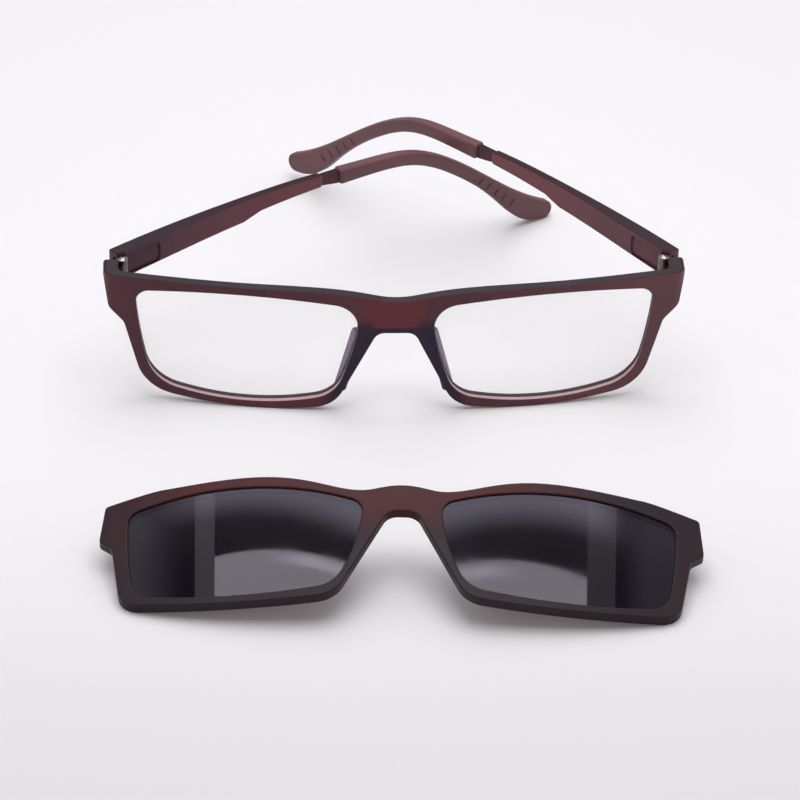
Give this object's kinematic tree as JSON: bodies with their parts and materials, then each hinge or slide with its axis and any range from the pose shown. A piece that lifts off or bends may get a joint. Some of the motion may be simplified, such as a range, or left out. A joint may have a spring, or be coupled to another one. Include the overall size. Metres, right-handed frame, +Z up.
{
  "type": "eyeglasses with magnetic sunglass clip",
  "caption": "Eyeglass frame with folding temples and a separate magnetic sunglass clip that snaps onto its front.",
  "frame": {"origin": "on the table under the middle of the whole set's bounding box", "axes": "+X across the face to the viewer's right, +Y from the clip to the glasses and on to the ears, +Z up"},
  "size_m": [0.1322, 0.2219, 0.037],
  "materials": {
    "frame_plastic": "translucent brown, soft matte",
    "sleeve_plastic": "soft matte brown",
    "clip_plastic": "dark brown, soft matte",
    "clear_lens": "clear polished",
    "dark_lens": "grey polarised, polished",
    "hinge_metal": "bright",
    "magnet": "nickel plated"
  },
  "bodies": {
    "glasses_front": {"frame_front": "frame_plastic", "demo_lens_right": "clear_lens", "demo_lens_left": "clear_lens", "hinge_front_right": "hinge_metal", "hinge_front_left": "hinge_metal", "frame_magnet_right": "magnet", "frame_magnet_left": "magnet"},
    "right_temple": {"temple_right": "frame_plastic", "ear_sleeve_right": "sleeve_plastic", "hinge_temple_right": "hinge_metal", "hinge_screw_right": "hinge_metal"},
    "left_temple": {"temple_left": "frame_plastic", "ear_sleeve_left": "sleeve_plastic", "hinge_temple_left": "hinge_metal", "hinge_screw_left": "hinge_metal"},
    "sun_clip": {"clip_frame": "clip_plastic", "clip_lens_right": "dark_lens", "clip_lens_left": "dark_lens", "clip_magnet_right": "magnet", "clip_magnet_left": "magnet"}
  },
  "joints": [
    {"name": "right_temple_hinge", "type": "hinge", "parent": "glasses_front", "child": "right_temple", "pos_m": [0.0618, -0.00065, 0.02993], "axis": [0, -0.1271, 0.9919], "range_deg": [-38.5, 28]},
    {"name": "left_temple_hinge", "type": "hinge", "parent": "glasses_front", "child": "left_temple", "pos_m": [-0.0618, -0.00065, 0.02993], "axis": [0, 0.1271, -0.9919], "range_deg": [-52.15, 37.9]},
    {"name": "clip_swing", "type": "hinge", "parent": "glasses_front", "child": "sun_clip", "pos_m": [0, -0.05747, 0.06224], "axis": [0.9988, -0.0305, 0.0382], "range_deg": [0, 77.26]}
  ],
  "couplings": [
    {"joint": "left_temple_hinge", "follows": "right_temple_hinge", "ratio": 1.3532}
  ]
}
